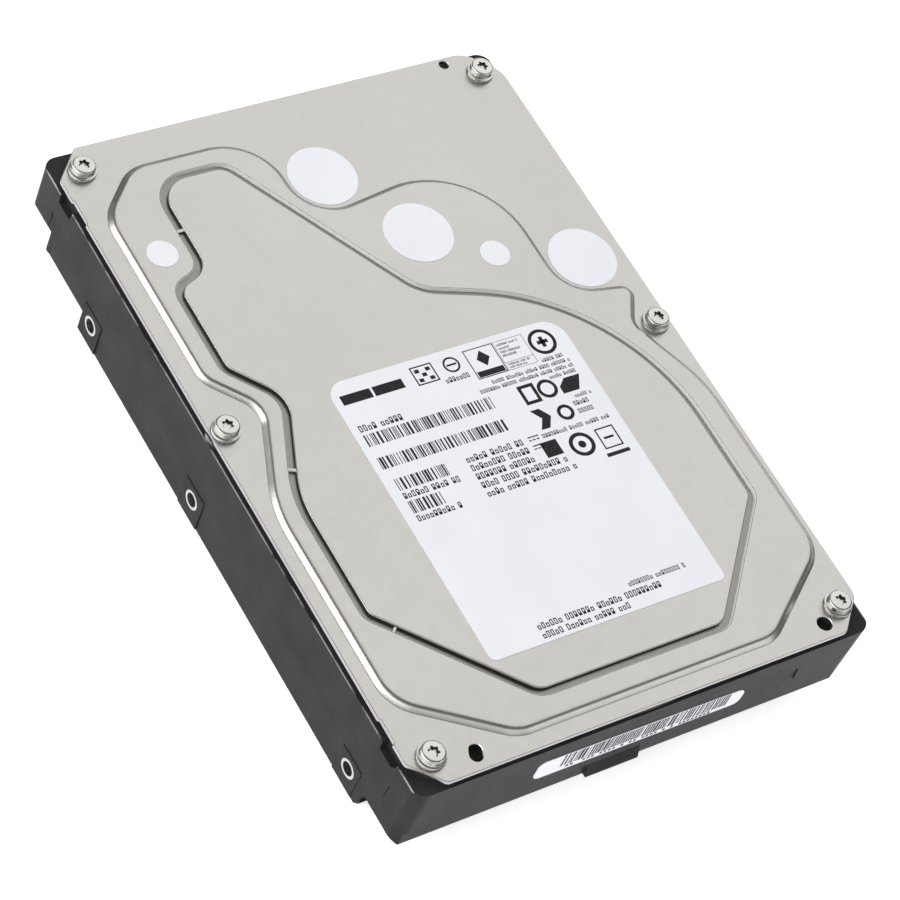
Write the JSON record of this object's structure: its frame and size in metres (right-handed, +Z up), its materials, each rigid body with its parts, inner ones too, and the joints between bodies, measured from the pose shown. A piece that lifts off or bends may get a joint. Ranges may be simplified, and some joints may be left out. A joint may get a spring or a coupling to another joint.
{
  "type": "hard disk drive",
  "caption": "Flat rectangular hard disk drive with a black cast tray, a stamped metal cover with a raised panel, a top label, an edge plug, and spinning disks with a swinging head arm inside.",
  "frame": {"origin": "middle of the drive in plan, on the plane of the bottom mounting rails", "axes": "+Z up out of the cover, +Y towards the connector end, +X across the width to the side that holds the power contacts"},
  "size_m": [0.1016, 0.147, 0.0261],
  "materials": {
    "black_casting": "satin black coating on cast aluminium",
    "cover_sheet": "satin stamped aluminium",
    "gasket_rubber": "matte",
    "label_film": "satin white film",
    "screw_steel": "zinc plated",
    "bare_steel": "ground steel",
    "core_steel": "laminated steel, dull",
    "plated_steel": "nickel plated",
    "machined_aluminium": "turned",
    "disk_mirror": "polished coated disk",
    "brass_part": "turned brass",
    "copper_wire": "enamelled copper wire",
    "ramp_plastic": "natural engineering plastic",
    "dark_plastic": "black moulded plastic",
    "flex_film": "amber polyimide film",
    "filter_cloth": "white felted filter",
    "board_green": "dark green solder mask",
    "foam_sheet": "thin grey foam",
    "capacitor_case": "moulded tantalum case",
    "contact_gold": "gold plated"
  },
  "bodies": {
    "chassis": {"base_casting": "black_casting", "bearing_sleeve": "brass_part", "board_insulator": "foam_sheet", "board_screws": "screw_steel", "breather_filter": "filter_cloth", "capacitors": "capacitor_case", "circuit_board": "board_green", "coil_magnets": "plated_steel", "controller_chip": "dark_plastic", "cover_gasket": "gasket_rubber", "cover_screws": "screw_steel", "crash_stops": "gasket_rubber", "damper_plate": "cover_sheet", "desiccant_pack": "filter_cloth", "end_label": "label_film", "flex_bracket": "dark_plastic", "flex_cable": "flex_film", "head_connector": "dark_plastic", "large_seals": "label_film", "latch_pin": "bare_steel", "load_ramp": "ramp_plastic", "lower_yoke": "plated_steel", "main_label": "label_film", "memory_chip": "dark_plastic", "motor_contacts": "contact_gold", "motor_driver_chip": "dark_plastic", "pivot_bearing_balls": "bare_steel", "pivot_inner_races": "bare_steel", "pivot_post": "bare_steel", "preamp_chip": "dark_plastic", "recirculation_filter": "filter_cloth", "sata_connector": "dark_plastic", "sata_contacts": "contact_gold", "service_header": "dark_plastic", "service_pins": "contact_gold", "small_seals": "label_film", "stator_core": "core_steel", "stator_windings": "copper_wire", "thrust_plate": "bare_steel", "top_cover": "cover_sheet", "upper_yoke": "plated_steel", "yoke_posts": "bare_steel"},
    "spindle": {"clamp_screws": "bare_steel", "platter_1": "disk_mirror", "platter_2": "disk_mirror", "platter_3": "disk_mirror", "platter_4": "disk_mirror", "platter_clamp": "machined_aluminium", "platter_spacers": "machined_aluminium", "rotor_magnet": "core_steel", "spindle_hub": "machined_aluminium", "spindle_shaft": "bare_steel"},
    "actuator": {"arm_block": "machined_aluminium", "coil_frame": "dark_plastic", "head_sliders": "dark_plastic", "head_suspensions": "bare_steel", "pivot_outer_races": "bare_steel", "pivot_sleeve": "bare_steel", "voice_coil": "copper_wire"},
    "latch": {"actuator_latch": "ramp_plastic"}
  },
  "joints": [
    {"name": "spindle_spin", "type": "hinge", "parent": "chassis", "child": "spindle", "pos_m": [0, -0.023, 0.0168], "axis": [0, 0, 1], "continuous": true},
    {"name": "actuator_swing", "type": "hinge", "parent": "chassis", "child": "actuator", "pos_m": [0.0108, 0.0342, 0.0161], "axis": [0, 0, 1], "range_deg": [0, 34]},
    {"name": "latch_swing", "type": "hinge", "parent": "chassis", "child": "latch", "pos_m": [0.031, 0.067, 0.0161], "axis": [0, 0, -1], "range_deg": [0, 10]}
  ]
}
